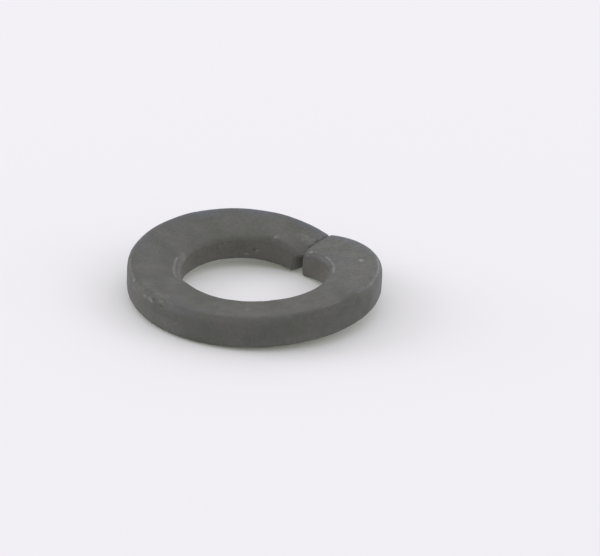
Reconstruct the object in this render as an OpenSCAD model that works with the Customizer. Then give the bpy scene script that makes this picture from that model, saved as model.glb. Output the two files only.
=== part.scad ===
// Spring lock washer for an M10 screw, in millimetres.
//
// One piece: a single turn of flat spring wire, coiled round the hole and sheared
// through at the split. Coiling has left the wire thicker along its outer wall,
// the upper face dished towards the hole and sunk along it in the first half of the
// turn, and both cut ends dipping. The shear has pushed the upper edge of one end out
// over the split as a lip and rolled the edge of the other end.
//
// The hole's axis is Z. The split is on the +X side. The turn starts just past
// the split, runs anticlockwise seen from above, and finishes just before it.

/* [Hole and wire] */
// Diameter of the hole
hole_d = 10.2; // [8:0.1:12]
// Radial width of the wire
wire_w = 3.7; // [2.6:0.1:5]
// Thickness of the wire along its outer wall
outer_t = 2.3; // [1.8:0.05:3.4]
// Thickness of the wire along the hole
inner_t = 2.0; // [1.6:0.05:3]
// Radius on the two long edges along the outer wall
outer_edge_r = 0.58; // [0.2:0.01:0.8]
// Radius on the two long edges along the hole
inner_edge_r = 0.36; // [0.3:0.01:0.6]

/* [Split] */
// Width of the split at the hole, at the level of the wire's middle
split_inner_w = 0.6; // [0.3:0.05:2]
// Width of the split at the outer wall
split_outer_w = 0.23; // [0.15:0.01:2]
// Share of the split's width that the starting end's lip reaches over, at the hole
hole_lip = 0.88; // [0:0.01:0.9]
// The same share at the outer wall
outer_lip = 0.5; // [0:0.01:0.9]
// Distance from the hole over which the lip's corner is missing
lip_corner = 0.45; // [0.2:0.05:1]
// Sag of the lip, at the hole
lip_sag = 0.3; // [0:0.05:0.4]
// Length along the wire over which the lip sags
lip_length = 1.0; // [0.5:0.1:3]
// Setback of the starting cut face below its lip, at the hole
undercut = 0.13; // [0:0.01:0.4]
// Setback of the finishing end's upper edge, rolled over by the shear
rollover = 0.17; // [0:0.01:0.4]
// Radius of the edge round the starting cut face
start_cut_r = 0.1; // [0.05:0.01:0.2]
// Radius of the edge round the finishing cut face
finish_cut_r = 0.26; // [0.05:0.01:0.28]

/* [Set of the turn] */
// Height gained from the start of the turn to its finish
climb = 0.53; // [0:0.01:2]
// Dip of the starting end below the turn
start_dip = 1.56; // [0:0.02:3]
// Dip of the finishing end below the turn
finish_dip = 2.13; // [0:0.01:3]
// How close to the starting end its dip sets in
start_power = 3.55; // [2:0.05:6]
// How close to the finishing end its dip sets in
finish_power = 2.35; // [2:0.05:6]
// Lift of the split side, and drop of the side opposite it
lean = 0.61; // [0:0.01:1.5]

/* [Dish of the wire] */
// Tilt of the wire's section where the other two terms vanish, outer wall up, in degrees
dish = 12.2; // [0:0.1:15]
// Tilt that the wire loses towards its two ends, in degrees
dish_end_loss = 21.8; // [0:0.1:25]
// Tilt gained on the split side and lost on the side opposite it, in degrees
dish_lean = 10.1; // [0:0.1:12]
// Sink of the upper face along the hole, in the first half of the turn
upper_sink = 0.33; // [0:0.01:0.4]

/* [Smoothness] */
// Steps in the turn
turn_steps = 120; // [60:10:140]
// Steps in each long edge of the wire
edge_steps = 4; // [2:1:6]
// Steps in the rounded edge of each cut face
rim_steps = 3; // [1:1:5]

/* [Hidden] */

finish_color = "dimgray";
hole_r = hole_d / 2;
outer_r = hole_r + wire_w;
mid_r = (hole_r + outer_r) / 2;
turn_length = 2 * PI * mid_r;
// The swept wire stands this far proud of both round walls, which are then cut true
wall_stock = 0.015;
half_w = wire_w / 2 + wall_stock;
mean_t = (outer_t + inner_t) / 2;
// Slope of each flat face, from the difference in thickness
face_slope = (outer_t - inner_t) / 2 / wire_w;
face_angle = atan(face_slope);
// How close to the upper face the lip and the rollover set in
lip_power = 2.5;
rollover_power = 2;
// Where the upper face sinks, in degrees round the turn
sink_start = 20;
sink_finish = 160;
sink_ease = 25;
// Brings the mean height of the turn to zero
base_z = (start_dip / (start_power + 1) + finish_dip / (finish_power + 1)) / 2;
cutter_h = 40;
round_steps = 180;

// Position in the turn, from -1 at its start to 1 at its finish
function turn_pos(angle) = angle / 180 - 1;

// Dip below the turn at a position in it
function dip(s) =
    s < 0 ? start_dip * pow(-s, start_power) : finish_dip * pow(s, finish_power);

// Height of the wire's middle at an angle round the turn
function wire_z(angle) =
    let (s = turn_pos(angle)) base_z + lean * cos(angle) + climb * s / 2 - dip(s);

// Tilt of the wire's section at an angle round the turn
function wire_tilt(angle) = dish - dish_end_loss * pow(turn_pos(angle), 2) + dish_lean * cos(angle);

// Share of the way from the hole to the outer wall
function share(r) = (r - hole_r) / wire_w;

// Level of a point of the section, from -1 at the lower face to 1 at the upper face
function rise(p) = p[1] / (mean_t / 2 + face_slope * p[0]);

// Width of the split, from the hole to the outer wall
function split_w(r) = split_inner_w + (split_outer_w - split_inner_w) * share(r);

// Rises smoothly from 0 to 1 as its argument does
function ease(x) = let (t = min(max(x, 0), 1)) t * t * (3 - 2 * t);

// Setback of the sheared start from the plain cut: less than zero where its lip reaches out
function start_setback(r, rise) =
    let (
        back = undercut * (1 - share(r)),
        lip_share = hole_lip + (outer_lip - hole_lip) * share(r),
        lip = lip_share * (split_w(r) + rollover) + back
    )
    back - lip * pow(max(rise, 0), lip_power) * ease((r - hole_r) / lip_corner);

// Setback of the sheared finish from the plain cut
function finish_setback(rise) = rollover * pow(max(rise, 0), rollover_power);

// Angle from the middle of the split to a cut face
function cut_angle(r, setback) = asin((split_w(r) / 2 + setback) / r);

// Sag of the lip at a distance along the wire
function sag(r, rise, along) =
    lip_sag * pow(max(1 - along / lip_length, 0) * (1 - share(r)), 2) * max(rise, 0);

// Sink of the upper face at an angle round the turn
function sink(r, rise, angle) =
    let (depth = ease((angle - sink_start) / sink_ease) * ease((sink_finish - angle) / sink_ease))
    upper_sink * depth * (1 - share(r)) * max(rise, 0);

// Rounded corner of the section: side and up are 1 or -1, and inset shrinks the section
function corner(side, up, inset) =
    let (
        t = side > 0 ? outer_t : inner_t,
        edge_r = (side > 0 ? outer_edge_r : inner_edge_r) - inset,
        half_turn = (90 - side * face_angle) / 2,
        reach = edge_r / cos(half_turn),
        u = side * (half_w - inset),
        w = up * (t / 2 + side * face_slope * (wall_stock - inset) - inset),
        cx = u - side * reach * cos(half_turn),
        cy = w - up * reach * sin(half_turn),
        points = [for (i = [0 : edge_steps])
            let (a = (90 + side * face_angle) * i / edge_steps)
            [cx + side * edge_r * cos(a), cy + up * edge_r * sin(a)]]
    )
    side * up > 0 ? points : [for (i = [edge_steps : -1 : 0]) points[i]];

// Outline of the wire's section, anticlockwise, as radial offset and height
function section(inset) = concat(
    corner(1, 1, inset), corner(-1, 1, inset), [[inset - half_w, 0]],
    corner(-1, -1, inset), corner(1, -1, inset), [[half_w - inset, 0]]);

// One ring of the sweep: part runs from 0 at the start of the turn to 1 at its finish
function ring(part, inset, start_gap, finish_gap) =
    [for (p = section(inset))
        let (
            r = mid_r + p[0],
            level = rise(p),
            first = cut_angle(r, start_setback(r, level) + start_gap),
            last = 360 - cut_angle(r, finish_setback(level) + finish_gap),
            angle = first + part * (last - first),
            turn_z = wire_z(angle) + p[0] * tan(wire_tilt(angle)) + p[1],
            z = turn_z - sag(r, level, part * turn_length) - sink(r, level, angle)
        )
        [r * cos(angle), r * sin(angle), z]];

// Rings of the rounded edge of one cut face, from the face outwards
function start_rim() =
    [for (i = [0 : rim_steps - 1])
        let (a = 90 * i / rim_steps)
        ring(0, start_cut_r * (1 - sin(a)), start_cut_r * (1 - cos(a)), finish_cut_r)];

function finish_rim() =
    [for (i = [rim_steps - 1 : -1 : 0])
        let (a = 90 * i / rim_steps)
        ring(1, finish_cut_r * (1 - sin(a)), start_cut_r, finish_cut_r * (1 - cos(a)))];

// Triangles between two neighbouring rings
function band(first, count) =
    [for (j = [0 : count - 1])
        let (a = first + j, b = first + (j + 1) % count, c = b + count, d = a + count)
        each [[a, b, c], [a, c, d]]];

// Triangles of a cut face, in rungs from its upper edge down to its lower edge
function rungs(first, count) =
    [for (k = [0 : count / 2 - 2])
        let (
            right = first + (edge_steps - k + count) % count,
            next_right = first + (edge_steps - k - 1 + count) % count,
            left = first + edge_steps + 1 + k
        )
        each [[next_right, right, left], [next_right, left, left + 1]]];

// Joins rings of equal length into one closed solid, with a cut face at each end
module skin(rings) {
    count = len(rings[0]);
    sides = [for (i = [0 : len(rings) - 2]) each band(i * count, count)];
    start_face = [for (t = rungs(0, count)) [t[2], t[1], t[0]]];
    finish_face = rungs((len(rings) - 1) * count, count);
    polyhedron(points = [for (r = rings) each r], faces = concat(sides, start_face, finish_face));
}

// The coiled wire, a little proud of its two round walls
module coiled_wire() {
    turn = [for (i = [0 : turn_steps]) ring(i / turn_steps, 0, start_cut_r, finish_cut_r)];
    skin(concat(start_rim(), turn, finish_rim()));
}

// The round blank between the hole and the outer wall
module blank() {
    difference() {
        cylinder(h = cutter_h, r = outer_r, center = true, $fn = round_steps);
        cylinder(h = 2 * cutter_h, r = hole_r, center = true, $fn = round_steps);
    }
}

module lock_washer() {
    color(finish_color)
        intersection() {
            coiled_wire();
            blank();
        }
}

lock_washer();
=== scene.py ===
import math
from collections import namedtuple

import bmesh
import bpy
from mathutils import Matrix
from mathutils import Vector
from mathutils import noise


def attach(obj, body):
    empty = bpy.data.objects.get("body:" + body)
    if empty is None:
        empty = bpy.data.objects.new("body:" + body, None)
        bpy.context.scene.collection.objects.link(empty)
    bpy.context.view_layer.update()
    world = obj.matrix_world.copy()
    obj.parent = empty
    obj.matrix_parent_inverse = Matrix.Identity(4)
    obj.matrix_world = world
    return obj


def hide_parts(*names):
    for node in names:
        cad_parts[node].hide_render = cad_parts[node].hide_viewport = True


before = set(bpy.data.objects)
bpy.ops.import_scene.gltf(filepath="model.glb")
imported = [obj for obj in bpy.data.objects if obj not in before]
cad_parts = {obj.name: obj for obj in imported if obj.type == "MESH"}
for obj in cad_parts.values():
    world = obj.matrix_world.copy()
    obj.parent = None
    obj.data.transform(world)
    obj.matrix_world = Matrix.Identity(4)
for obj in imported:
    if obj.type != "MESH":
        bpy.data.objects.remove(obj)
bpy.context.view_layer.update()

bl_info = {
    "name": "Spring Lock Washer",
    "version": (1, 0, 0),
    "blender": (4, 5, 0),
    "location": "3D View > Sidebar > Washer",
    "description": "Models a coiled spring lock washer and the table it lies on",
    "category": "Object",
}

NODE = "lock_washer"
MM = 0.001

# Lengths in these constants are in millimetres, and closeness is per millimetre.

# Steps in each long edge of the wire, and in the edge round each cut
CORNER_STEPS = 8
RIM_STEPS = 5
# Step across the flat sides of the wire, and the fewest steps that a side is divided into
FLAT_STEP = 0.12
FEWEST_STEPS = 4
# The most sides of a face that isn't a cut face, and the width of the rim laid inside each
# cut face
MOST_SIDES = 8
CUT_RIM = 0.05
# Distances within which a point counts as lying in a plane, and two points as one
IN_PLANE = 1e-6
SAME_POINT = 1e-5
# How close to the wire's upper face the lip and the rollover of the shear set in
LIP_POWER = 2.5
ROLLOVER_POWER = 2
# Share of the split that the lip's edge stays within, and how often that edge wanders across
# the wire's width
LIP_LIMIT = 0.98
RAGS = 9
# Where the upper face sinks along the hole, in degrees round the turn
SINK_START = 20
SINK_FINISH = 160
SINK_EASE = 25
# Distance over which the bare steel of a cut face gives way to the coating
CUT_FADE = 0.02
# Reach of the rubbed edges, as a multiple of the outer edge's radius
EDGE_REACH = 1.4
# The slate-blue tint of the outer upper edge, partly the thin coating's own blotchy tint and
# partly a painted reflection, strongest on the back of the turn: its reach, its middle round the
# turn, and how narrowly it keeps to that middle
BLUE_REACH = 1.5
BLUE_MIDDLE = math.radians(30)
BLUE_POWER = 3
# The paler, warmer tone on the wall of the hole, partly its own tone and partly painted light
# that brightens that shaded wall: its reach from the hole, the height above the wire's middle at
# which it starts to fade, and the height over which it fades
WALL_REACH = 0.2
WALL_TOP = 0.4
WALL_FADE = 0.5
# Layers of noise in the surface, each with its closeness and its share
WAVES = ((0.55, 1.0), (1.3, 0.5))
GRAINS = ((5.0, 1.0), (11.0, 0.6))
# Rubbed stretches and nicks along the edges: closeness and place in the noise, the least
# noise that makes a nick, and how much deeper a nick is than a rubbed stretch
RUB_CLOSENESS = 1.9
RUB_PLACE = Vector((7.0, 3.0, 1.0))
NICK_CLOSENESS = 4.2
NICK_PLACE = Vector((1.0, 9.0, 4.0))
NICK_LIMIT = 0.25
NICK_DEPTH = 2.5
# Floor of the chips: closeness of its noise and its mean share of the full depth
CHIP_CLOSENESS = 6.0
CHIP_SHARE = 0.7


# A mark on the coating, for wear, chips and specks, and for painted highlights, painted light
# and painted shade: where it starts and finishes round the turn, in degrees, its share of the
# way from the hole to the outer wall, its level from -1 at the lower face to 1 at the upper
# face, its reach in millimetres, its paleness, less than zero where it is dark, and its depth in
# millimetres.
Mark = namedtuple("Mark", "start finish share level reach pale depth")

MARKS = (
    # band on the hole's upper edge, partly wear and partly a painted highlight on its rounding,
    # and a painted highlight along its top
    Mark(106, 150, 0.02, 0.75, 0.36, 0.22, 0.01),
    Mark(112, 142, 0.12, 1.00, 0.12, 0.45, 0.01),
    Mark(104, 113, 0.09, 1.00, 0.20, 0.18, 0.01),
    Mark(144, 156, 0.09, 0.97, 0.12, 0.22, 0.01),
    # row of chips on the outer edge, with a nick below it that painted shade darkens
    Mark(159, 160, 0.99, 0.67, 0.16, 0.52, 0.05),
    Mark(163, 165, 0.98, 0.69, 0.16, 0.42, 0.05),
    Mark(169, 171, 0.93, 0.90, 0.16, 0.50, 0.04),
    Mark(173, 176, 0.89, 0.97, 0.14, 0.26, 0.02),
    Mark(165, 168, 0.97, 0.81, 0.14, -0.70, 0.06),
    Mark(169, 173, 0.99, 0.66, 0.20, -0.55, 0.09),
    # paler line down the outer edge
    Mark(126, 144, 0.95, 0.88, 0.14, 0.30, 0.01),
    Mark(145, 146, 0.97, 0.79, 0.18, 0.55, 0.02),
    Mark(147, 151, 1.00, 0.50, 0.14, 0.28, 0.01),
    # thin paler line along the outer edge of the raised side
    Mark(250, 260, 0.87, 1.00, 0.20, 0.18, 0.01),
    Mark(273, 280, 0.90, 0.96, 0.24, 0.18, 0.01),
    Mark(280, 292, 0.93, 0.92, 0.18, 0.32, 0.01),
    Mark(292, 314, 0.93, 0.92, 0.15, 0.46, 0.01),
    # pale arc on the hole's edge by the finishing end
    Mark(300, 332, 0.10, 1.00, 0.14, 0.50, 0.01),
    Mark(318, 334, 0.04, 0.85, 0.22, 0.22, 0.02),
    # chips at the split
    Mark(349, 351, 0.07, 0.98, 0.18, 1.20, 0.05),
    Mark(350, 351, 0.02, 0.75, 0.15, 0.60, 0.03),
    Mark(344, 346, 0.10, 1.00, 0.14, 0.45, 0.03),
    Mark(350, 352, 0.30, 1.00, 0.18, 0.20, 0.02),
    # painted shade along the split's upper edge, where the gap's shadow falls
    Mark(357, 358, 0.32, 1.00, 0.18, -0.60, 0.00),
    Mark(-2, 0, 0.38, 1.00, 0.18, -0.80, 0.00),
    Mark(-2, 0, 0.45, 1.00, 0.18, -0.70, 0.00),
    Mark(-2, 0, 0.57, 1.00, 0.16, -0.90, 0.00),
    Mark(-2, 0, 0.63, 1.00, 0.14, -0.60, 0.00),
    # stray specks and streaks
    Mark(313, 314, 0.62, 1.00, 0.20, 2.00, 0.00),
    Mark(349, 350, 0.76, 1.00, 0.10, 0.50, 0.00),
    Mark(22, 23, 0.05, 0.92, 0.13, 0.35, 0.01),
    Mark(21, 22, 0.11, 0.97, 0.15, 0.80, 0.01),
    Mark(20, 21, 0.18, 1.00, 0.13, 0.35, 0.01),
    Mark(3, 8, 0.52, 1.00, 0.90, 0.24, 0.00),
    Mark(64, 66, 0.00, 0.32, 0.16, 0.28, 0.02),
    Mark(60, 62, 0.01, 0.55, 0.13, 0.25, 0.01),
    Mark(35, 36, 0.00, -0.21, 0.13, 0.40, 0.02),
    # painted shade darkens this small dent
    Mark(37, 38, 0.00, -0.12, 0.17, -0.50, 0.08),
    Mark(43, 45, 0.00, -0.53, 0.15, 0.40, 0.02),
    Mark(212, 214, 0.50, 1.00, 0.22, 0.20, 0.00),
    # broad paler and darker stretches: painted light and painted shade on the upper face, the
    # outer wall and the hole's wall
    Mark(290, 350, 0.55, 1.00, 3.00, 0.14, 0.00),
    Mark(15, 60, 0.55, 1.00, 2.60, 0.08, 0.00),
    Mark(-6, 8, 0.70, 1.00, 1.60, 0.12, 0.00),
    Mark(240, 270, 0.97, 0.80, 0.95, -0.23, 0.00),
    Mark(328, 340, 0.00, 0.20, 0.80, -0.14, 0.00),
    Mark(168, 188, 1.00, 0.50, 0.70, -0.10, 0.00),
    Mark(50, 90, 0.00, 0.00, 1.10, -0.20, 0.00),
    Mark(200, 256, 1.00, -0.90, 1.00, 0.13, 0.00),
    Mark(60, 130, 0.60, 1.00, 2.00, 0.07, 0.00),
    Mark(148, 180, 1.00, -0.50, 1.20, 0.12, 0.00),
    Mark(152, 168, 0.85, 1.00, 0.80, 0.13, 0.00),
)


# ---------------------------------------------------------------- sizes


class WasherSizes(bpy.types.PropertyGroup):
    """Sizes of the washer, in metres and radians."""

    hole_diameter: bpy.props.FloatProperty(
        name="Hole diameter",
        description="Width of the round hole",
        default=0.0102,
        min=0.008,
        max=0.012,
        unit="LENGTH",
    )
    wire_width: bpy.props.FloatProperty(
        name="Wire width",
        description="Radial width of the flat wire",
        default=0.00369,
        min=0.0026,
        max=0.005,
        unit="LENGTH",
    )
    outer_thickness: bpy.props.FloatProperty(
        name="Outer thickness",
        description="Thickness of the wire along its outer wall",
        default=0.00231,
        min=0.0018,
        max=0.0034,
        unit="LENGTH",
    )
    inner_thickness: bpy.props.FloatProperty(
        name="Inner thickness",
        description="Thickness of the wire along the hole",
        default=0.00201,
        min=0.0016,
        max=0.003,
        unit="LENGTH",
    )
    outer_edge_radius: bpy.props.FloatProperty(
        name="Outer edge radius",
        description="Radius on the two long edges along the outer wall",
        default=0.00058,
        min=0.0001,
        max=0.0008,
        unit="LENGTH",
    )
    inner_edge_radius: bpy.props.FloatProperty(
        name="Inner edge radius",
        description="Radius on the two long edges along the hole",
        default=0.00036,
        min=0.0001,
        max=0.0006,
        unit="LENGTH",
    )
    start_cut_radius: bpy.props.FloatProperty(
        name="Start cut radius",
        description="Radius of the edge round the cut face that starts the turn",
        default=0.0001,
        min=0.00005,
        max=0.0003,
        unit="LENGTH",
    )
    finish_cut_radius: bpy.props.FloatProperty(
        name="Finish cut radius",
        description="Radius of the rolled edge round the cut face that finishes the turn",
        default=0.00026,
        min=0.00005,
        max=0.0003,
        unit="LENGTH",
    )
    split_inner_width: bpy.props.FloatProperty(
        name="Split at the hole",
        description="Width of the split at the hole",
        default=0.0006,
        min=0.0004,
        max=0.002,
        unit="LENGTH",
    )
    split_outer_width: bpy.props.FloatProperty(
        name="Split at the outer wall",
        description="Width of the split at the outer wall",
        default=0.00023,
        min=0.0001,
        max=0.002,
        unit="LENGTH",
    )
    hole_lip: bpy.props.FloatProperty(
        name="Lip at the hole",
        description="Share of the split's width that the sheared lip reaches over, at the hole",
        default=0.82,
        min=0.0,
        max=0.9,
        subtype="FACTOR",
    )
    outer_lip: bpy.props.FloatProperty(
        name="Lip at the outer wall",
        description="Share of the split's width that the sheared lip reaches over, outside",
        default=0.91,
        min=0.0,
        max=0.98,
        subtype="FACTOR",
    )
    lip_corner: bpy.props.FloatProperty(
        name="Lip corner",
        description="Distance from the hole over which the lip's corner is missing",
        default=0.00045,
        min=0.0001,
        max=0.001,
        unit="LENGTH",
    )
    lip_sag: bpy.props.FloatProperty(
        name="Lip sag",
        description="Sag of the overhanging lip, at the hole",
        default=0.0005,
        min=0.0,
        max=0.001,
        unit="LENGTH",
    )
    lip_length: bpy.props.FloatProperty(
        name="Lip length",
        description="Length along the wire over which the lip sags",
        default=0.0038,
        min=0.0002,
        max=0.006,
        unit="LENGTH",
    )
    undercut: bpy.props.FloatProperty(
        name="Undercut",
        description="Setback of the starting cut face below its lip, at the hole",
        default=0.00013,
        min=0.0,
        max=0.0005,
        unit="LENGTH",
    )
    slant: bpy.props.FloatProperty(
        name="Slant",
        description="Further setback of the starting cut face at its lower edge, at the hole",
        default=0.0002,
        min=0.0,
        max=0.0005,
        unit="LENGTH",
    )
    ragged_lip: bpy.props.FloatProperty(
        name="Ragged lip",
        description="Unevenness of the lip's edge, as a share of the split's width",
        default=0.07,
        min=0.0,
        max=0.3,
    )
    rollover: bpy.props.FloatProperty(
        name="Cut rollover",
        description="Setback of the finishing end's upper edge",
        default=0.00017,
        min=0.0,
        max=0.0005,
        unit="LENGTH",
    )
    sink: bpy.props.FloatProperty(
        name="Sink",
        description="Sink of the upper face along the hole, in the first half of the turn",
        default=0.00033,
        min=0.0,
        max=0.0005,
        unit="LENGTH",
    )
    climb: bpy.props.FloatProperty(
        name="Climb",
        description="Height gained from the start of the turn to its finish",
        default=0.000533,
        min=0.0,
        max=0.002,
        unit="LENGTH",
    )
    start_dip: bpy.props.FloatProperty(
        name="Start dip",
        description="Dip of the starting end below the turn",
        default=0.00156,
        min=0.0,
        max=0.003,
        unit="LENGTH",
    )
    finish_dip: bpy.props.FloatProperty(
        name="Finish dip",
        description="Dip of the finishing end below the turn",
        default=0.002135,
        min=0.0,
        max=0.003,
        unit="LENGTH",
    )
    start_power: bpy.props.FloatProperty(
        name="Start dip power",
        description="How close to the starting end its dip sets in",
        default=3.55,
        min=2.0,
        max=6.0,
    )
    finish_power: bpy.props.FloatProperty(
        name="Finish dip power",
        description="How close to the finishing end its dip sets in",
        default=2.37,
        min=2.0,
        max=6.0,
    )
    lean: bpy.props.FloatProperty(
        name="Lean",
        description="Lift of the split side, and drop of the side opposite it",
        default=0.00061,
        min=0.0,
        max=0.0015,
        unit="LENGTH",
    )
    dish: bpy.props.FloatProperty(
        name="Dish",
        description="Tilt of the wire's section, outer wall up",
        default=math.radians(12.16),
        min=0.0,
        max=math.radians(15),
        subtype="ANGLE",
    )
    dish_end_loss: bpy.props.FloatProperty(
        name="Dish lost at the ends",
        description="Tilt that the wire loses towards its two ends",
        default=math.radians(21.84),
        min=0.0,
        max=math.radians(25),
        subtype="ANGLE",
    )
    dish_lean: bpy.props.FloatProperty(
        name="Dish lean",
        description="Tilt gained on the split side and lost on the side opposite it",
        default=math.radians(10.11),
        min=0.0,
        max=math.radians(12),
        subtype="ANGLE",
    )
    turn_steps: bpy.props.IntProperty(
        name="Turn steps",
        description="Steps along the coiled wire",
        default=420,
        min=120,
        max=600,
    )
    waviness: bpy.props.FloatProperty(
        name="Waviness",
        description="Depth of the gentle unevenness left by rolling and coiling",
        default=0.000018,
        min=0.0,
        max=0.0001,
        unit="LENGTH",
    )
    grain: bpy.props.FloatProperty(
        name="Grain",
        description="Depth of the fine etched grain under the coating",
        default=0.000004,
        min=0.0,
        max=0.00003,
        unit="LENGTH",
    )
    edge_wear: bpy.props.FloatProperty(
        name="Edge wear",
        description="Depth of the rubbed and nicked places along the edges",
        default=0.00002,
        min=0.0,
        max=0.0002,
        unit="LENGTH",
    )


class WasherFinish(bpy.types.PropertyGroup):
    """Colours and gloss of the phosphate coating."""

    coating: bpy.props.FloatVectorProperty(
        name="Coating",
        description="Main colour of the phosphate coating",
        subtype="COLOR",
        size=3,
        default=(0.0885, 0.0873, 0.0795),
        min=0.0,
        max=1.0,
    )
    coating_shade: bpy.props.FloatVectorProperty(
        name="Coating shade",
        description="Darker, greener patches of the coating",
        subtype="COLOR",
        size=3,
        default=(0.0763, 0.0785, 0.0685),
        min=0.0,
        max=1.0,
    )
    coating_bloom: bpy.props.FloatVectorProperty(
        name="Coating bloom",
        description="Faint bluish bloom on the coating",
        subtype="COLOR",
        size=3,
        default=(0.0915, 0.0893, 0.0925),
        min=0.0,
        max=1.0,
    )
    # Also the colour of painted highlights and painted light, besides steel rubbed bare.
    rubbed_steel_and_painted_light: bpy.props.FloatVectorProperty(
        name="Rubbed steel",
        description="Steel that shows where the coating has rubbed thin",
        subtype="COLOR",
        size=3,
        default=(0.3, 0.298, 0.285),
        min=0.0,
        max=1.0,
    )
    # Partly a painted reflection: besides the thin coating's blotchy tint, this slate blue is
    # strongest on the outer upper edge at the back of the turn.
    edge_blue: bpy.props.FloatVectorProperty(
        name="Edge blue",
        description="Slate tint of the thin coating along the outer upper edge",
        subtype="COLOR",
        size=3,
        default=(0.108, 0.12, 0.165),
        min=0.0,
        max=1.0,
    )
    # Partly painted light: besides a warmer tone, this colour brightens the hole's shaded wall.
    hole_wall: bpy.props.FloatVectorProperty(
        name="Hole wall",
        description="Paler, warmer coating on the wall of the hole",
        subtype="COLOR",
        size=3,
        default=(0.11, 0.107, 0.094),
        min=0.0,
        max=1.0,
    )
    cut_steel: bpy.props.FloatVectorProperty(
        name="Cut steel",
        description="Thinly coated steel of the two sheared faces",
        subtype="COLOR",
        size=3,
        default=(0.2, 0.2, 0.188),
        min=0.0,
        max=1.0,
    )
    # Painted shade: the dark colour laid along the split's upper edge, in the nicks and on the
    # more shaded walls and edges.
    painted_shade: bpy.props.FloatVectorProperty(
        name="Dirt",
        description="Dark dirt in the deeper nicks",
        subtype="COLOR",
        size=3,
        default=(0.03, 0.03, 0.027),
        min=0.0,
        max=1.0,
    )
    roughness: bpy.props.FloatProperty(
        name="Roughness",
        description="Roughness of the coating",
        default=0.58,
        min=0.0,
        max=1.0,
        subtype="FACTOR",
    )


class StageSettings(bpy.types.PropertyGroup):
    """Table, light and camera."""

    table_colour: bpy.props.FloatVectorProperty(
        name="Table",
        description="Colour of the table and of the space behind it",
        subtype="COLOR",
        size=3,
        default=(0.88, 0.865, 0.905),
        min=0.0,
        max=1.0,
    )
    table_glow: bpy.props.FloatProperty(
        name="Table glow",
        description="Share of the table's brightness that comes through it from below",
        default=0.1,
        min=0.0,
        max=1.0,
        subtype="FACTOR",
    )
    glow_colour: bpy.props.FloatVectorProperty(
        name="Glow colour",
        description="Colour of the light that comes through the table, seen best in shadows",
        subtype="COLOR",
        size=3,
        default=(0.93, 1.0, 0.69),
        min=0.0,
        max=1.0,
    )
    table_radius: bpy.props.FloatProperty(
        name="Table radius",
        description="Radius of the round table top",
        default=2.0,
        min=0.5,
        max=5.0,
        unit="LENGTH",
    )
    room_light: bpy.props.FloatProperty(
        name="Room light",
        description="Strength of the light that comes from all sides",
        default=0.8,
        min=0.0,
        max=2.0,
    )
    left_power: bpy.props.FloatProperty(
        name="Left lamp power",
        description="Power of the soft lamp on the left",
        default=1.13,
        min=0.0,
        max=20.0,
        unit="POWER",
    )
    left_azimuth: bpy.props.FloatProperty(
        name="Left lamp azimuth",
        description="Direction in plan from the washer to the lamp on the left",
        default=math.radians(120),
        subtype="ANGLE",
    )
    right_power: bpy.props.FloatProperty(
        name="Right lamp power",
        description="Power of the soft lamp on the right",
        default=0.61,
        min=0.0,
        max=20.0,
        unit="POWER",
    )
    right_azimuth: bpy.props.FloatProperty(
        name="Right lamp azimuth",
        description="Direction in plan from the washer to the lamp on the right",
        default=math.radians(300),
        subtype="ANGLE",
    )
    back_power: bpy.props.FloatProperty(
        name="Back lamp power",
        description="Power of the soft lamp on the back",
        default=0.49,
        min=0.0,
        max=20.0,
        unit="POWER",
    )
    back_azimuth: bpy.props.FloatProperty(
        name="Back lamp azimuth",
        description="Direction in plan from the washer to the lamp on the back",
        default=0.0,
        subtype="ANGLE",
    )
    lamp_size: bpy.props.FloatProperty(
        name="Lamp size",
        description="Side of each square soft lamp",
        default=0.4,
        min=0.05,
        max=2.0,
        unit="LENGTH",
    )
    lamp_distance: bpy.props.FloatProperty(
        name="Lamp distance",
        description="Distance from the washer to each lamp",
        default=0.6,
        min=0.1,
        max=3.0,
        unit="LENGTH",
    )
    lamp_elevation: bpy.props.FloatProperty(
        name="Lamp elevation",
        description="Height of the lamps above the horizon",
        default=math.radians(22),
        subtype="ANGLE",
    )
    camera_azimuth: bpy.props.FloatProperty(
        name="Camera azimuth",
        description="Direction in plan from the washer to the camera",
        default=math.radians(216.67),
        subtype="ANGLE",
    )
    camera_elevation: bpy.props.FloatProperty(
        name="Camera elevation",
        description="Height of the camera above the washer's own plane",
        default=math.radians(26.11),
        subtype="ANGLE",
    )
    camera_roll: bpy.props.FloatProperty(
        name="Camera roll",
        description="Lean of the hole's axis to the right in the camera's view",
        default=math.radians(1.83),
        subtype="ANGLE",
    )
    camera_distance: bpy.props.FloatProperty(
        name="Camera distance",
        description="Distance from the aim point to the camera",
        default=0.2009,
        min=0.05,
        max=5.0,
        unit="LENGTH",
    )
    aim_height: bpy.props.FloatProperty(
        name="Aim height",
        description="Height of the aim point on the hole's axis",
        default=0.00039,
        unit="LENGTH",
    )
    lens: bpy.props.FloatProperty(
        name="Lens",
        description="Focal length in millimetres",
        default=174.74,
        min=20.0,
        max=400.0,
    )
    shift_right: bpy.props.FloatProperty(
        name="Shift right",
        description="Lens shift that places the washer left of the middle",
        default=0.07585,
    )
    shift_up: bpy.props.FloatProperty(
        name="Shift up",
        description="Lens shift that places the washer above the middle",
        default=-0.00803,
    )


# ---------------------------------------------------------------- form of the turn


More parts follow.
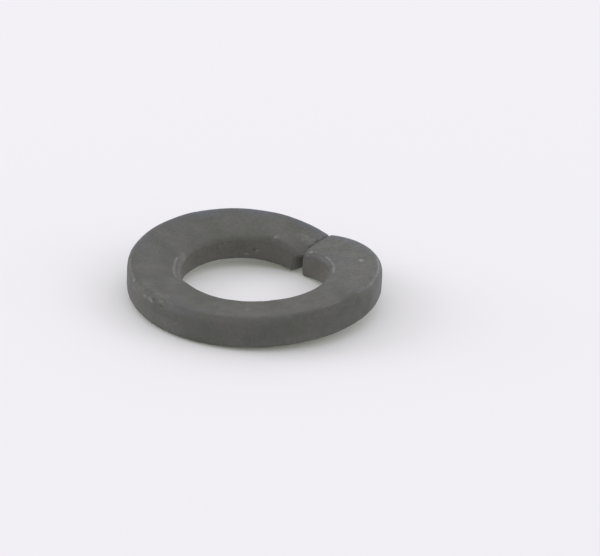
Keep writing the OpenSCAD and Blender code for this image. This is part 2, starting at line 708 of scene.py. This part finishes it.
def dished_section(bm, sizes):
    """The wire's section: four corners, rounded, with its long sides divided."""
    half = sizes.wire_width / 2 / MM
    inner = sizes.inner_thickness / 2 / MM
    outer = sizes.outer_thickness / 2 / MM
    corners = [
        bm.verts.new((-half, 0.0, -inner)),
        bm.verts.new((half, 0.0, -outer)),
        bm.verts.new((half, 0.0, outer)),
        bm.verts.new((-half, 0.0, inner)),
    ]
    bm.faces.new(corners)
    for side in (-1, 1):
        radius = sizes.inner_edge_radius if side < 0 else sizes.outer_edge_radius
        bmesh.ops.bevel(
            bm,
            geom=[v for v in bm.verts if v.co.x * side > half - IN_PLANE],
            offset=radius / MM,
            offset_type="OFFSET",
            segments=CORNER_STEPS,
            profile=0.5,
            affect="VERTICES",
            material=-1,
        )
    for edge in list(bm.edges):
        cuts = int(edge.calc_length() / FLAT_STEP)
        if cuts >= FEWEST_STEPS:
            bmesh.ops.subdivide_edges(bm, edges=[edge], cuts=cuts)
    return bm.faces[:][0]


def straight_wire(bm, sizes, length):
    """Draws the section out into a straight bar with rolled edges round both cuts."""
    face = dished_section(bm, sizes)
    pulled = bmesh.ops.extrude_face_region(bm, geom=[face], use_keep_orig=True)
    far_verts = [g for g in pulled["geom"] if isinstance(g, bmesh.types.BMVert)]
    bmesh.ops.translate(bm, verts=far_verts, vec=(0.0, length, 0.0))
    bmesh.ops.recalc_face_normals(bm, faces=bm.faces[:])
    for y, radius in ((0.0, sizes.start_cut_radius), (length, sizes.finish_cut_radius)):
        rim = [e for e in bm.edges if all(abs(v.co.y - y) < IN_PLANE for v in e.verts)]
        bmesh.ops.bevel(
            bm,
            geom=rim,
            offset=radius / MM,
            offset_type="OFFSET",
            segments=RIM_STEPS,
            profile=0.5,
            affect="EDGES",
            clamp_overlap=False,
            material=-1,
        )
    long_edges = [e for e in bm.edges if abs(e.verts[0].co.y - e.verts[1].co.y) > length / 2]
    bmesh.ops.subdivide_edges(
        bm, edges=long_edges, cuts=sizes.turn_steps - 1, use_grid_fill=True
    )
    cut_faces = [f for f in bm.faces if len(f.verts) > MOST_SIDES]
    bmesh.ops.inset_region(bm, faces=cut_faces, thickness=CUT_RIM, use_even_offset=True)


def turn_height(sizes, angle):
    """Height of the wire's middle, in millimetres, at an angle round the turn."""
    place = angle / math.pi - 1
    start_dip = sizes.start_dip / MM
    finish_dip = sizes.finish_dip / MM
    level = start_dip / (sizes.start_power + 1) / 2 + finish_dip / (sizes.finish_power + 1) / 2
    if place < 0:
        dip = start_dip * abs(place) ** sizes.start_power
    else:
        dip = finish_dip * place**sizes.finish_power
    lean = sizes.lean / MM * math.cos(angle)
    return level + lean + sizes.climb / MM * place / 2 - dip


def section_tilt(sizes, angle):
    """Tilt of the wire's section, outer wall up, at an angle round the turn."""
    place = angle / math.pi - 1
    return sizes.dish - sizes.dish_end_loss * place**2 + sizes.dish_lean * math.cos(angle)


def ease(value):
    """Rises smoothly from 0 to 1 as the value does."""
    value = min(max(value, 0.0), 1.0)
    return value * value * (3 - 2 * value)


def cut_reach(sizes, share, level, split):
    """Reach of the sheared start and finish over a split of the given width, in millimetres.

    The share runs from 0 at the hole to 1 at the outer wall, and the level from -1 at the
    lower face to 1 at the upper face.
    """
    upper = max(level, 0.0)
    rollover = sizes.rollover / MM * (2 * share - 1) ** 2
    undercut = (sizes.undercut + sizes.slant * max(-level, 0.0)) / MM * (1 - share)
    lip_share = sizes.hole_lip + (sizes.outer_lip - sizes.hole_lip) * share
    lip_share += sizes.ragged_lip * noise.noise(Vector((share * RAGS, 0.0, 0.0)))
    lip = min(lip_share, LIP_LIMIT) * (split + rollover) + undercut
    from_hole = share * sizes.wire_width / sizes.lip_corner
    start = lip * upper**LIP_POWER * ease(from_hole) - undercut
    finish = -rollover * upper**ROLLOVER_POWER
    return start, finish


def upper_sink(sizes, angle, share):
    """Sink of the upper face, in millimetres."""
    turned = math.degrees(angle)
    depth = ease((turned - SINK_START) / SINK_EASE) * ease((SINK_FINISH - turned) / SINK_EASE)
    return sizes.sink / MM * depth * (1 - share)


def coil(bm, sizes, length):
    """Bends the straight bar into the washer's turn, with its dips, lean and dish.

    Each point keeps its angle round the turn and its place in the section.
    """
    hole_radius = sizes.hole_diameter / 2 / MM
    width = sizes.wire_width / MM
    middle_radius = hole_radius + width / 2
    split_inner = sizes.split_inner_width / MM
    split_outer = sizes.split_outer_width / MM
    inner_half = sizes.inner_thickness / 2 / MM
    outer_half = sizes.outer_thickness / 2 / MM
    on_wire = bm.verts.layers.float_vector.new("on_wire")
    for vert in bm.verts:
        across, along, up = vert.co
        radius = middle_radius + across
        share = (radius - hole_radius) / width
        split = split_inner + (split_outer - split_inner) * share
        level = up / (inner_half + (outer_half - inner_half) * share)
        start_reach, finish_reach = cut_reach(sizes, share, level, split)
        first = math.asin((split / 2 - start_reach) / radius)
        last = 2 * math.pi - math.asin((split / 2 - finish_reach) / radius)
        angle = first + along / length * (last - first)
        sag = sizes.lip_sag / MM * ease(1 - along * MM / sizes.lip_length) * (1 - share)
        height = turn_height(sizes, angle) + across * math.tan(section_tilt(sizes, angle))
        height += up - (sag + upper_sink(sizes, angle, share)) * max(level, 0.0)
        vert[on_wire] = Vector((angle, across, up))
        vert.co = Vector((radius * math.cos(angle), radius * math.sin(angle), height))


def mark_cuts(bm, length):
    """Notes, before coiling, which points lie on a cut face."""
    layer = bm.verts.layers.float.new("cut_face")
    for vert in bm.verts:
        end_gap = min(vert.co.y, length - vert.co.y)
        vert[layer] = 1 - ease(end_gap / CUT_FADE)


def mark_wear_and_painted_light(bm, sizes):
    """Notes where the coating is rubbed, chipped or tinted, and where light and shade are
    painted.
    """
    on_wire = bm.verts.layers.float_vector["on_wire"]
    wear_and_painted_light = bm.verts.layers.float.new("wear_and_painted_light")
    chipped = bm.verts.layers.float.new("chipped")
    edge = bm.verts.layers.float.new("edge_nearness")
    blue = bm.verts.layers.float.new("edge_blue")
    wall = bm.verts.layers.float.new("hole_wall")
    half = sizes.wire_width / 2 / MM
    inner = sizes.inner_thickness / 2 / MM
    outer = sizes.outer_thickness / 2 / MM
    edge_reach = EDGE_REACH * sizes.outer_edge_radius / MM
    centres = []
    for mark in MARKS:
        across = (2 * mark.share - 1) * half
        up = mark.level * (inner + (outer - inner) * mark.share)
        centres.append((mark, math.radians(mark.start), math.radians(mark.finish), across, up))
    for vert in bm.verts:
        angle, across, up = vert[on_wire]
        radius = math.hypot(vert.co.x, vert.co.y)
        share = (across + half) / (2 * half)
        thick = inner + (outer - inner) * share
        corner_gap = math.hypot(half - abs(across), thick - abs(up))
        vert[edge] = 1 - ease(corner_gap / edge_reach)
        # Slate tint of the outer upper edge, partly a painted reflection, strongest round
        # BLUE_MIDDLE
        facing = (0.5 + 0.5 * math.cos(angle - BLUE_MIDDLE)) ** BLUE_POWER
        vert[blue] = facing * (1 - ease(math.hypot(half - across, outer - up) / BLUE_REACH))
        # Paler, warmer hole wall, partly painted light on that shaded wall
        below_top = 1 - ease((up - WALL_TOP) / WALL_FADE)
        vert[wall] = (1 - ease((across + half) / WALL_REACH)) * below_top
        # Paleness and depth of the nearest marks: wear, chips, painted highlights, painted light
        # and painted shade
        pale = 0.0
        depth = 0.0
        for mark, start, finish, mark_across, mark_up in centres:
            beyond = max(start - angle, angle - finish, 0.0) * radius
            if beyond > mark.reach:
                continue
            aside = math.hypot(across - mark_across, up - mark_up)
            amount = 1 - ease(math.hypot(beyond, aside) / mark.reach)
            if abs(mark.pale * amount) > abs(pale):
                pale = mark.pale * amount
            depth = max(depth, mark.depth * amount)
        vert[wear_and_painted_light] = pale
        vert[chipped] = depth


def layered_noise(at, layers):
    """Sum of several layers of noise at a point."""
    return sum(share * noise.noise(at * closeness) for closeness, share in layers)


def unevenness(bm, sizes):
    """Moves the surface by the small waves, grain and rubbed edges that real coated wire has."""
    edge_layer = bm.verts.layers.float["edge_nearness"]
    chip_layer = bm.verts.layers.float["chipped"]
    waviness = sizes.waviness / MM
    grain = sizes.grain / MM
    wear = sizes.edge_wear / MM
    bm.normal_update()
    moves = []
    for vert in bm.verts:
        at = vert.co
        rub = max(noise.noise(at * RUB_CLOSENESS + RUB_PLACE), 0.0)
        nick = max(noise.noise(at * NICK_CLOSENESS + NICK_PLACE) - NICK_LIMIT, 0.0)
        step = waviness * layered_noise(at, WAVES) + grain * layered_noise(at, GRAINS)
        step -= wear * vert[edge_layer] * (rub + NICK_DEPTH * nick)
        step -= vert[chip_layer] * (CHIP_SHARE + noise.noise(at * CHIP_CLOSENESS))
        moves.append(vert.normal * step)
    for vert, move in zip(bm.verts, moves):
        vert.co += move


def washer_mesh(sizes):
    """One closed mesh of the whole washer, in metres."""
    bm = bmesh.new()
    length = 2 * math.pi * (sizes.hole_diameter + sizes.wire_width) / 2 / MM
    straight_wire(bm, sizes, length)
    mark_cuts(bm, length)
    coil(bm, sizes, length)
    bmesh.ops.remove_doubles(bm, verts=bm.verts[:], dist=SAME_POINT)
    bmesh.ops.recalc_face_normals(bm, faces=bm.faces[:])
    mark_wear_and_painted_light(bm, sizes)
    unevenness(bm, sizes)
    bmesh.ops.scale(bm, vec=(MM, MM, MM), verts=bm.verts[:])
    for face in bm.faces:
        face.smooth = True
    mesh = bpy.data.meshes.new("washer")
    bm.verts.layers.float_vector.remove(bm.verts.layers.float_vector["on_wire"])
    bm.to_mesh(mesh)
    bm.free()
    return mesh


# ---------------------------------------------------------------- coating

# Shares of the bloom and of the thinly rubbed edges that show
BLOOM_SHARE = 0.7
THIN_SHARE = 0.2
# How far the roughness wanders below and above its setting
ROUGHNESS_DROP = 0.06
ROUGHNESS_RISE = 0.08
# What the palest places, worn and painted pale alike, take off the roughness, and how metallic
# they look
PALE_MARK_POLISH = 0.14
PALE_MARK_METAL = 0.5
# Specular level of the coating
COATING_SPECULAR = 0.4
# Strength of the grain's bump, and its height in metres
BUMP_STRENGTH = 0.5
BUMP_HEIGHT = 0.00002


def phosphate_material(finish):
    """Matte dark phosphate on spring steel, rubbed thin along its edges, with painted light and
    shade.
    """
    material = bpy.data.materials.new("phosphate_coating")
    material.use_nodes = True
    nodes = material.node_tree.nodes
    links = material.node_tree.links
    nodes.clear()
    output = nodes.new("ShaderNodeOutputMaterial")
    surface = nodes.new("ShaderNodeBsdfPrincipled")
    place = nodes.new("ShaderNodeTexCoord")
    links.new(surface.outputs["BSDF"], output.inputs["Surface"])

    def cloud(scale, detail, rough=0.55):
        texture = nodes.new("ShaderNodeTexNoise")
        texture.inputs["Scale"].default_value = scale
        texture.inputs["Detail"].default_value = detail
        texture.inputs["Roughness"].default_value = rough
        links.new(place.outputs["Object"], texture.inputs["Vector"])
        return texture.outputs["Fac"]

    def ramp(value, low, high, from_low=0.0, to_high=1.0):
        span = nodes.new("ShaderNodeMapRange")
        span.interpolation_type = "SMOOTHSTEP"
        span.inputs["From Min"].default_value = low
        span.inputs["From Max"].default_value = high
        span.inputs["To Min"].default_value = from_low
        span.inputs["To Max"].default_value = to_high
        links.new(value, span.inputs["Value"])
        return span.outputs["Result"]

    def blend_colour(factor, first, second):
        mix = nodes.new("ShaderNodeMix")
        mix.data_type = "RGBA"
        links.new(factor, mix.inputs["Factor"])
        for socket, colour in ((mix.inputs[6], first), (mix.inputs[7], second)):
            if isinstance(colour, bpy.types.NodeSocket):
                links.new(colour, socket)
            else:
                socket.default_value = (*colour, 1.0)
        return mix.outputs[2]

    def maths(operation, first, second):
        node = nodes.new("ShaderNodeMath")
        node.operation = operation
        for socket, value in zip(node.inputs, (first, second)):
            if isinstance(value, bpy.types.NodeSocket):
                links.new(value, socket)
            else:
                socket.default_value = value
        return node.outputs["Value"]

    def attribute(name):
        node = nodes.new("ShaderNodeAttribute")
        node.attribute_name = name
        return node.outputs["Fac"]

    patches = ramp(cloud(scale=420.0, detail=3.0), low=0.38, high=0.66)
    bloom = ramp(cloud(scale=300.0, detail=2.0, rough=0.4), low=0.52, high=0.72)
    blotches = ramp(cloud(scale=350.0, detail=2.0), low=0.35, high=0.65, from_low=0.3)
    grain = cloud(scale=5200.0, detail=4.0, rough=0.7)
    colour = blend_colour(patches, finish.coating, finish.coating_shade)
    colour = blend_colour(maths("MULTIPLY", bloom, BLOOM_SHARE), colour, finish.coating_bloom)
    # Paler, warmer hole wall: its own tone and painted light
    colour = blend_colour(attribute("hole_wall"), colour, finish.hole_wall)
    # Slate tint on the outer upper edge: part coating blotches and part painted reflection
    tint = maths("MULTIPLY", attribute("edge_blue"), blotches)
    colour = blend_colour(tint, colour, finish.edge_blue)
    colour = blend_colour(attribute("cut_face"), colour, finish.cut_steel)
    grey = ramp(grain, low=0.25, high=0.75, from_low=0.9, to_high=1.1)
    toned = nodes.new("ShaderNodeMix")
    toned.data_type = "RGBA"
    toned.blend_type = "MULTIPLY"
    toned.inputs["Factor"].default_value = 1.0
    links.new(colour, toned.inputs[6])
    links.new(grey, toned.inputs[7])
    colour = toned.outputs[2]

    scuffs = ramp(cloud(scale=900.0, detail=5.0, rough=0.65), low=0.5, high=0.8)
    thin = maths("MULTIPLY", attribute("edge_nearness"), scuffs)
    flecks = cloud(scale=4200.0, detail=3.0, rough=0.6)
    uneven = ramp(flecks, low=0.35, high=0.65, from_low=0.35, to_high=1.3)
    # The marks' paleness: wear, chips, painted highlights and painted light above zero, painted
    # shade below zero
    mark = maths("MULTIPLY", attribute("wear_and_painted_light"), uneven)
    worn_and_painted_light = maths("MAXIMUM", mark, maths("MULTIPLY", thin, THIN_SHARE))
    # Painted shade where a mark's paleness is below zero
    dark = maths("MAXIMUM", maths("MULTIPLY", mark, -1.0), 0.0)
    colour = blend_colour(worn_and_painted_light, colour, finish.rubbed_steel_and_painted_light)
    colour = blend_colour(dark, colour, finish.painted_shade)

    links.new(colour, surface.inputs["Base Color"])
    smoothest = finish.roughness - ROUGHNESS_DROP
    roughest = finish.roughness + ROUGHNESS_RISE
    haze = cloud(scale=900.0, detail=4.0)
    matte = ramp(haze, low=0.3, high=0.7, from_low=smoothest, to_high=roughest)
    polish = maths("MULTIPLY", worn_and_painted_light, PALE_MARK_POLISH)
    links.new(maths("SUBTRACT", matte, polish), surface.inputs["Roughness"])
    links.new(maths("MULTIPLY", worn_and_painted_light, PALE_MARK_METAL), surface.inputs["Metallic"])
    surface.inputs["Specular IOR Level"].default_value = COATING_SPECULAR

    bump = nodes.new("ShaderNodeBump")
    bump.inputs["Strength"].default_value = BUMP_STRENGTH
    bump.inputs["Distance"].default_value = BUMP_HEIGHT
    links.new(grain, bump.inputs["Height"])
    links.new(bump.outputs["Normal"], surface.inputs["Normal"])
    return material


# ---------------------------------------------------------------- stage

# The least that a face of the hull must look down to be one that the washer can rest on
REST_FACING = -0.5
# Roughness of the table, and steps round it
TABLE_ROUGHNESS = 0.9
TABLE_STEPS = 96
# Width of the camera's sensor, in millimetres, and the depths that it sees, in metres
SENSOR_WIDTH = 36.0
NEAREST = 0.01
FARTHEST = 20.0


def resting_plane(piece):
    """A point and the upward normal of the table that the piece rests on."""
    bm = bmesh.new()
    bm.from_mesh(piece.data)
    volume = 0.0
    balance = Vector()
    for a, b, c in bm.calc_loop_triangles():
        p, q, r = a.vert.co, b.vert.co, c.vert.co
        part = p.dot(q.cross(r)) / 6
        volume += part
        balance += part * (p + q + r) / 4
    balance /= volume
    hull = bmesh.new()
    for vert in bm.verts:
        hull.verts.new(vert.co)
    bm.free()
    bmesh.ops.convex_hull(hull, input=hull.verts[:], use_existing_faces=False)
    bmesh.ops.triangulate(hull, faces=hull.faces[:])
    hull.normal_update()
    for face in hull.faces:
        down = face.normal
        corners = [v.co.copy() for v in face.verts]
        if (corners[0] - balance).dot(down) < 0:
            down = -down
            corners.reverse()
        if down.z > REST_FACING:
            continue
        foot = balance + down * (corners[0] - balance).dot(down)
        sides = zip(corners, corners[1:] + corners[:1])
        if all((b - a).cross(foot - a).dot(down) >= 0 for a, b in sides):
            hull.free()
            return foot, -down
    raise RuntimeError("the washer has no resting plane")


def plan_direction(azimuth, elevation):
    """Unit vector with that direction in plan and that height above the horizon."""
    return Vector(
        (
            math.cos(azimuth) * math.cos(elevation),
            math.sin(azimuth) * math.cos(elevation),
            math.sin(elevation),
        )
    )


def table_material(stage):
    """Matte pale table top that lets a little light through from below."""
    material = bpy.data.materials.new("pale_table")
    material.use_nodes = True
    surface = material.node_tree.nodes["Principled BSDF"]
    glow = [stage.table_glow * part for part in stage.glow_colour]
    plain = [whole - part for whole, part in zip(stage.table_colour, glow)]
    surface.inputs["Base Color"].default_value = (*plain, 1.0)
    surface.inputs["Emission Color"].default_value = (*stage.glow_colour, 1.0)
    surface.inputs["Emission Strength"].default_value = stage.table_glow
    surface.inputs["Roughness"].default_value = TABLE_ROUGHNESS
    surface.inputs["Specular IOR Level"].default_value = 0.0
    return material


def make_table(stage, piece):
    """A wide round table top on the washer's resting plane."""
    foot, up = resting_plane(piece)
    bm = bmesh.new()
    bmesh.ops.create_circle(bm, cap_ends=True, segments=TABLE_STEPS, radius=stage.table_radius)
    turn = Vector((0.0, 0.0, 1.0)).rotation_difference(up).to_matrix().to_4x4()
    bmesh.ops.transform(bm, matrix=Matrix.Translation(foot) @ turn, verts=bm.verts[:])
    mesh = bpy.data.meshes.new("table")
    bm.to_mesh(mesh)
    bm.free()
    table = bpy.data.objects.new("table", mesh)
    bpy.context.scene.collection.objects.link(table)
    mesh.materials.append(table_material(stage))


def make_softbox(stage, name, azimuth, power):
    """One square soft lamp that faces the washer."""
    lamp = bpy.data.lights.new(name, "AREA")
    lamp.shape = "SQUARE"
    lamp.size = stage.lamp_size
    lamp.energy = power
    softbox = bpy.data.objects.new(name, lamp)
    bpy.context.scene.collection.objects.link(softbox)
    towards = plan_direction(azimuth, stage.lamp_elevation)
    softbox.location = towards * stage.lamp_distance
    softbox.rotation_mode = "QUATERNION"
    softbox.rotation_quaternion = (-towards).to_track_quat("-Z", "Y")


def make_light(stage):
    """Even light from all sides, as in a white tent, and three soft lamps."""
    world = bpy.data.worlds.new("tent")
    bpy.context.scene.world = world
    world.use_nodes = True
    nodes = world.node_tree.nodes
    links = world.node_tree.links
    nodes.clear()
    output = nodes.new("ShaderNodeOutputWorld")
    light = nodes.new("ShaderNodeBackground")
    light.inputs["Color"].default_value = (1.0, 1.0, 1.0, 1.0)
    light.inputs["Strength"].default_value = stage.room_light
    shown = nodes.new("ShaderNodeBackground")
    shown.inputs["Color"].default_value = (*stage.table_colour, 1.0)
    shown.inputs["Strength"].default_value = 1.0
    path = nodes.new("ShaderNodeLightPath")
    seen = path.outputs["Is Camera Ray"]
    for kind in ("Is Glossy Ray", "Is Transmission Ray"):
        either = nodes.new("ShaderNodeMath")
        either.operation = "MAXIMUM"
        links.new(seen, either.inputs[0])
        links.new(path.outputs[kind], either.inputs[1])
        seen = either.outputs["Value"]
    pick = nodes.new("ShaderNodeMixShader")
    links.new(seen, pick.inputs["Fac"])
    links.new(light.outputs["Background"], pick.inputs[1])
    links.new(shown.outputs["Background"], pick.inputs[2])
    links.new(pick.outputs["Shader"], output.inputs["Surface"])
    make_softbox(stage, "left_lamp", stage.left_azimuth, stage.left_power)
    make_softbox(stage, "right_lamp", stage.right_azimuth, stage.right_power)
    make_softbox(stage, "back_lamp", stage.back_azimuth, stage.back_power)


def make_camera(stage):
    """The camera, at the height and distance of a close table-top view."""
    data = bpy.data.cameras.new("camera")
    data.lens = stage.lens
    data.sensor_width = SENSOR_WIDTH
    data.clip_start = NEAREST
    data.clip_end = FARTHEST
    data.shift_x = stage.shift_right
    data.shift_y = stage.shift_up
    camera = bpy.data.objects.new("camera", data)
    bpy.context.scene.collection.objects.link(camera)
    back = plan_direction(stage.camera_azimuth, stage.camera_elevation)
    camera.location = Vector((0.0, 0.0, stage.aim_height)) + back * stage.camera_distance
    camera.rotation_mode = "QUATERNION"
    level = (-back).to_track_quat("-Z", "Y").to_matrix()
    roll = Matrix.Rotation(stage.camera_roll, 3, "Z")
    camera.rotation_quaternion = (level @ roll).to_quaternion()
    bpy.context.scene.camera = camera


# ---------------------------------------------------------------- operators


class WASHER_OT_make_washer(bpy.types.Operator):
    """Makes the coated spring lock washer"""

    bl_idname = "washer.make_washer"
    bl_label = "Make washer"

    def execute(self, context):
        mesh = washer_mesh(context.scene.washer_sizes)
        mesh.materials.append(phosphate_material(context.scene.washer_finish))
        piece = bpy.data.objects.new("washer", mesh)
        context.scene.collection.objects.link(piece)
        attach(piece, "root")
        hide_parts(NODE)
        return {"FINISHED"}


class WASHER_OT_make_stage(bpy.types.Operator):
    """Makes the table under the washer, the light and the camera"""

    bl_idname = "washer.make_stage"
    bl_label = "Make stage"

    def execute(self, context):
        stage = context.scene.washer_stage
        make_table(stage, bpy.data.objects["washer"])
        make_light(stage)
        make_camera(stage)
        context.scene.view_settings.view_transform = "Standard"
        return {"FINISHED"}


class WASHER_PT_panel(bpy.types.Panel):
    """Sidebar panel of the washer's operators and sizes"""

    bl_idname = "WASHER_PT_panel"
    bl_label = "Spring Lock Washer"
    bl_space_type = "VIEW_3D"
    bl_region_type = "UI"
    bl_category = "Washer"

    def draw(self, context):
        layout = self.layout
        layout.operator(WASHER_OT_make_washer.bl_idname)
        layout.operator(WASHER_OT_make_stage.bl_idname)
        for group in (
            context.scene.washer_sizes,
            context.scene.washer_finish,
            context.scene.washer_stage,
        ):
            box = layout.box()
            for name in group.__annotations__:
                box.prop(group, name)


CLASSES = (
    WasherSizes,
    WasherFinish,
    StageSettings,
    WASHER_OT_make_washer,
    WASHER_OT_make_stage,
    WASHER_PT_panel,
)


def register():
    for cls in CLASSES:
        bpy.utils.register_class(cls)
    bpy.types.Scene.washer_sizes = bpy.props.PointerProperty(type=WasherSizes)
    bpy.types.Scene.washer_finish = bpy.props.PointerProperty(type=WasherFinish)
    bpy.types.Scene.washer_stage = bpy.props.PointerProperty(type=StageSettings)


def unregister():
    del bpy.types.Scene.washer_stage
    del bpy.types.Scene.washer_finish
    del bpy.types.Scene.washer_sizes
    for cls in reversed(CLASSES):
        bpy.utils.unregister_class(cls)


def main():
    register()
    bpy.ops.washer.make_washer()
    bpy.ops.washer.make_stage()


if __name__ == "__main__":
    main()
